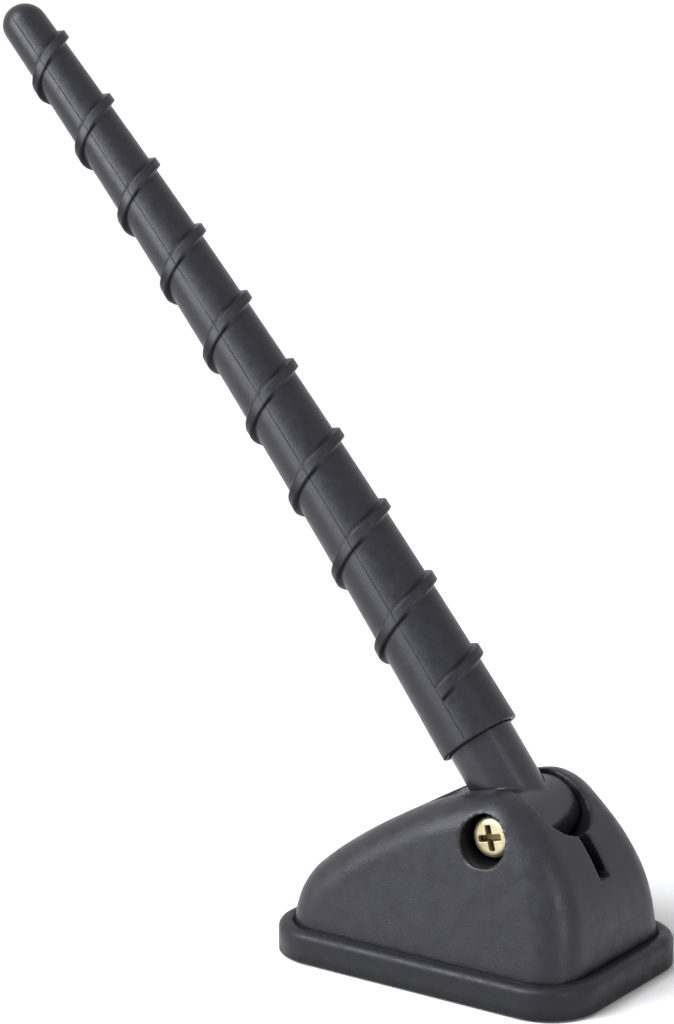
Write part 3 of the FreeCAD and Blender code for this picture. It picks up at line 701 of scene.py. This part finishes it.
class ANTENNA_OT_base(bpy.types.Operator):
    """Dress the moulded housing, its gasket and the foam pad"""
    bl_idname = "antenna.base"
    bl_label = "Base"

    def execute(self, context):
        housing = merged_copy("base_housing", "housing_shell")
        soften(housing, *SOFTENING["base_housing"])
        # Painted shade in the slit, the screw's recess and the end trough, kept as a point attribute
        mark_painted_shade(housing, housing_painted_shade)
        settle_housing(housing)
        finish_piece(housing, "base_housing", "base", "housing_plastic", COPY_EDGE)
        gasket = merged_copy("base_gasket", "gasket_skirt")
        finish_piece(gasket, "base_gasket", "base", "gasket_rubber", COPY_EDGE)
        pad = merged_copy("adhesive_pad", "foam_pad")
        finish_piece(pad, "adhesive_pad", "base", "pad_foam", COPY_EDGE)
        return {"FINISHED"}


# The hub and the fixings

class ANTENNA_OT_hub(bpy.types.Operator):
    """Dress the drum, neck and spigot that carry the mast"""
    bl_idname = "antenna.hub"
    bl_label = "Pivot hub"

    def execute(self, context):
        kit = sizes()
        piece = merged_copy("pivot_hub", "hub_neck")
        soften(piece, *SOFTENING["pivot_hub"])
        steeper = math.atan(mast_shift(kit, kit.mast_start) / kit.mast_start)
        about = Matrix.Translation(PIVOT) @ Matrix.Rotation(steeper, 4, "Y") @ Matrix.Translation(-PIVOT)
        piece.data.transform(about)
        finish_piece(piece, "pivot_hub", "mast", "hub_plastic", COPY_EDGE)
        return {"FINISHED"}


def turn_head(piece):
    """Turn the screw about its axis and widen its head to the real one's size."""
    kit = sizes()
    spin = Matrix.Rotation(kit.head_turn, 3, "Y")
    under_head = -kit.head_seat - HEAD_MARGIN
    for vertex in piece.data.vertices:
        arm = vertex.co - PIVOT
        arm.y = 0.0
        spread = kit.head_growth if vertex.co.y < under_head else 1.0
        turned = spin @ arm * spread
        vertex.co = (PIVOT.x + turned.x, vertex.co.y, PIVOT.z + turned.z)


class ANTENNA_OT_fixings(bpy.types.Operator):
    """Dress the cross-head screw and its nut"""
    bl_idname = "antenna.fixings"
    bl_label = "Screw and nut"

    def execute(self, context):
        screw = merged_copy("clamp_screw", "screw_body")
        soften(screw, *SOFTENING["clamp_screw"])
        turn_head(screw)
        finish_piece(screw, "clamp_screw", "base", "zinc_steel", COPY_EDGE)
        nut = merged_copy("clamp_nut", "nut_body")
        soften(nut, *SOFTENING["clamp_nut"])
        finish_piece(nut, "clamp_nut", "base", "zinc_steel", COPY_EDGE)
        return {"FINISHED"}


# Stage

def lay_floor():
    """Lay a wide pale floor just under the antenna."""
    material, shader, nodes, links = new_material("pale_floor")
    shader.inputs["Base Color"].default_value = FLOOR_TONE
    shader.inputs["Roughness"].default_value = FLOOR_ROUGHNESS
    bpy.ops.object.select_all(action="DESELECT")
    bpy.ops.mesh.primitive_plane_add(size=FLOOR_SIZE, location=(0.0, 0.0, -FLOOR_DROP))
    plane = named("studio_floor")
    plane.data.materials.append(material)


def white_surround(scene):
    """White to the camera, in reflections and through glass, and a weaker fill light on the pieces."""
    world = bpy.data.worlds.new("white_surround")
    scene.world = world
    world.use_nodes = True
    nodes, links = world.node_tree.nodes, world.node_tree.links
    nodes.clear()
    path = add(nodes, "ShaderNodeLightPath", (-600, 200))
    seen = add(nodes, "ShaderNodeMath", (-350, 250), operation="MAXIMUM")
    clear = add(nodes, "ShaderNodeMath", (-150, 250), operation="MAXIMUM")
    links.new(path.outputs["Is Camera Ray"], seen.inputs[0])
    links.new(path.outputs["Is Glossy Ray"], seen.inputs[1])
    links.new(seen.outputs["Value"], clear.inputs[0])
    links.new(path.outputs["Is Transmission Ray"], clear.inputs[1])
    fill = add(nodes, "ShaderNodeBackground", (-150, 0), {"Color": WHITE, "Strength": SURROUND_FILL})
    white = add(nodes, "ShaderNodeBackground", (-150, -150), {"Color": WHITE, "Strength": SURROUND_SEEN})
    blend = add(nodes, "ShaderNodeMixShader", (150, 100))
    leave = add(nodes, "ShaderNodeOutputWorld", (350, 100))
    links.new(clear.outputs["Value"], blend.inputs["Fac"])
    links.new(fill.outputs["Background"], blend.inputs[1])
    links.new(white.outputs["Background"], blend.inputs[2])
    links.new(blend.outputs["Shader"], leave.inputs["Surface"])


def area_light(name, place, aim, wide, tall, power):
    """Add a soft rectangular light that faces a point."""
    bpy.ops.object.light_add(type="AREA", location=place)
    lamp = bpy.context.active_object
    lamp.name = name
    lamp.data.shape = "RECTANGLE"
    lamp.data.size = wide
    lamp.data.size_y = tall
    lamp.data.energy = power
    lamp.rotation_euler = (Vector(aim) - Vector(place)).to_track_quat("-Z", "Y").to_euler()
    return lamp


def set_lights():
    """A broad sun from camera left, a soft window, a strip for the far edges, a sheen on the mast only."""
    bpy.ops.object.light_add(type="SUN", location=KEY_PLACE)
    key = bpy.context.active_object
    key.name = "soft_key"
    key.data.energy = KEY_POWER
    key.data.angle = KEY_SPREAD
    key.data.color = KEY_COLOUR
    key.rotation_euler = KEY_DIRECTION.to_track_quat("-Z", "Y").to_euler()
    area_light(
        "soft_left", place=(-0.37, -0.49, 0.34), aim=(0.0, 0.0, 0.06), wide=0.32, tall=0.36, power=3.2)
    area_light(
        "strip_right", place=(0.58, -0.17, 0.22), aim=(0.0, 0.0, 0.05), wide=0.12, tall=0.45, power=1.0)
    sheen = area_light(
        "mast_sheen", place=(-0.20, -0.47, 0.16), aim=(-0.06, 0.0, 0.10), wide=0.34, tall=0.40, power=2.3)
    sheen.visible_diffuse = False
    mast_only = bpy.data.collections.new("mast_only")
    mast_only.objects.link(bpy.data.objects["mast_skin"])
    sheen.light_linking.receiver_collection = mast_only


def photo_camera(scene):
    """Stand the camera where the photograph was taken from."""
    turn_sin, turn_cos = math.sin(CAMERA_TURN), math.cos(CAMERA_TURN)
    rise_sin, rise_cos = math.sin(CAMERA_RISE), math.cos(CAMERA_RISE)
    back = Vector((turn_sin * rise_cos, -turn_cos * rise_cos, rise_sin))
    right = Vector((turn_cos, turn_sin, 0.0))
    up = Vector((-turn_sin * rise_sin, turn_cos * rise_sin, rise_cos))
    across = right * math.cos(CAMERA_ROLL) + up * math.sin(CAMERA_ROLL)
    upward = up * math.cos(CAMERA_ROLL) - right * math.sin(CAMERA_ROLL)
    bpy.ops.object.camera_add(location=CAMERA_AIM + CAMERA_DISTANCE * back)
    camera = bpy.context.active_object
    camera.name = "photo_camera"
    camera.data.lens = CAMERA_LENS
    camera.data.sensor_width = CAMERA_SENSOR
    camera.data.clip_start = CAMERA_NEAR
    camera.rotation_euler = Matrix((across, upward, back)).transposed().to_euler()
    scene.camera = camera


class ANTENNA_OT_stage(bpy.types.Operator):
    """Set the pale floor, white surround, soft lights and the photograph's camera"""
    bl_idname = "antenna.stage"
    bl_label = "Stage"

    def execute(self, context):
        lay_floor()
        white_surround(context.scene)
        set_lights()
        photo_camera(context.scene)
        context.scene.view_settings.view_transform = "Standard"
        return {"FINISHED"}


class ANTENNA_PT_panel(bpy.types.Panel):
    """Buttons in the order in which the antenna is built"""
    bl_idname = "ANTENNA_PT_panel"
    bl_label = "Car antenna"
    bl_space_type = "VIEW_3D"
    bl_region_type = "UI"
    bl_category = "Antenna"

    def draw(self, context):
        column = self.layout.column()
        for step in STEPS:
            column.operator(step.bl_idname)
        for group in (context.scene.antenna_sizes, context.scene.antenna_colours):
            box = self.layout.box()
            for key in group.__annotations__:
                box.prop(group, key)


STEPS = (ANTENNA_OT_base, ANTENNA_OT_hub, ANTENNA_OT_mast, ANTENNA_OT_fixings, ANTENNA_OT_stage)
CLASSES = (AntennaSizes, AntennaColours) + STEPS + (ANTENNA_PT_panel,)


def register():
    for kind in CLASSES:
        bpy.utils.register_class(kind)
    bpy.types.Scene.antenna_sizes = PointerProperty(type=AntennaSizes)
    bpy.types.Scene.antenna_colours = PointerProperty(type=AntennaColours)


def unregister():
    del bpy.types.Scene.antenna_colours
    del bpy.types.Scene.antenna_sizes
    for kind in reversed(CLASSES):
        bpy.utils.unregister_class(kind)


def main():
    register()
    bpy.ops.antenna.base()
    bpy.ops.antenna.hub()
    bpy.ops.antenna.mast()
    bpy.ops.antenna.fixings()
    bpy.ops.antenna.stage()


if __name__ == "__main__":
    main()
